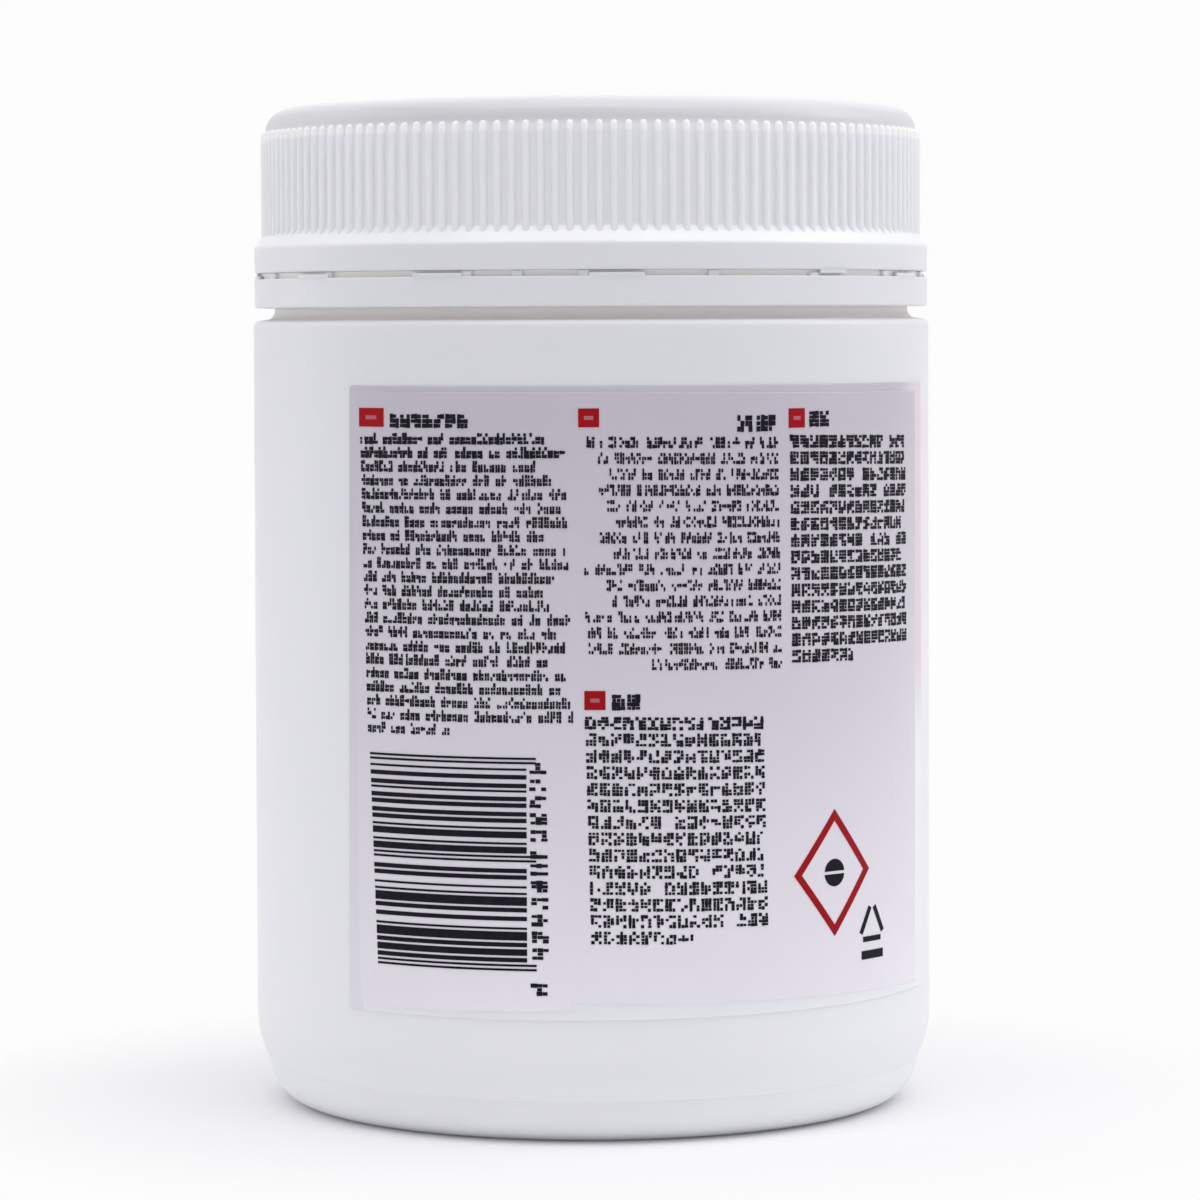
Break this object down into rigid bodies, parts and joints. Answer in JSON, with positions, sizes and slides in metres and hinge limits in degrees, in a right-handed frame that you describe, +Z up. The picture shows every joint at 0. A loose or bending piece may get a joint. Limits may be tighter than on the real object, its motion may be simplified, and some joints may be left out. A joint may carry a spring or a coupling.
{
  "type": "cleaning tablet pack",
  "caption": "Round white screw-top jar of cleaning tablets with a ribbed cap, a tamper band and a two-layer wrap label.",
  "frame": {"origin": "centre of the jar's axis on the surface that the jar stands on", "axes": "+Z up along the jar's axis, the label faces -Y, its left edge lies towards -X"},
  "size_m": [0.082, 0.0823, 0.1199],
  "materials": {
    "jar_plastic": "white blow-moulded polyethylene, satin, faintly waxy",
    "cap_plastic": "white injection-moulded polypropylene, satin",
    "liner_foam": "white foam sheet, matt",
    "label_film": "thin lilac-tinted film, slightly glossy",
    "label_leaf": "laminated paper leaf with a lilac tint, slightly glossy",
    "black_ink": "printed ink under clear film",
    "red_ink": "printed ink under clear film",
    "tablet_powder": "pressed powder, matt, with fine blue grains"
  },
  "bodies": {
    "jar": {"jar": "jar_plastic", "tamper_band": "cap_plastic", "label_base": "label_film", "label_left_leaf": "label_leaf", "label_right_leaf": "label_leaf", "print_headings": "black_ink", "print_text": "black_ink", "print_stripes": "black_ink", "print_red": "red_ink", "print_marks": "black_ink", "tablets": "tablet_powder"},
    "liner": {"cap_liner": "liner_foam"},
    "cap": {"screw_cap": "cap_plastic"}
  },
  "joints": [
    {"name": "cap_lift", "type": "slide", "parent": "jar", "child": "liner", "axis": [0, 0, 1], "range_m": [0, 0.005]},
    {"name": "cap_turn", "type": "hinge", "parent": "liner", "child": "cap", "pos_m": [0, 0, 0.11], "axis": [0, 0, 1], "range_deg": [0, 360]}
  ],
  "couplings": [
    {"joint": "cap_lift", "follows": "cap_turn", "m_per_rad": 0.00079577}
  ]
}
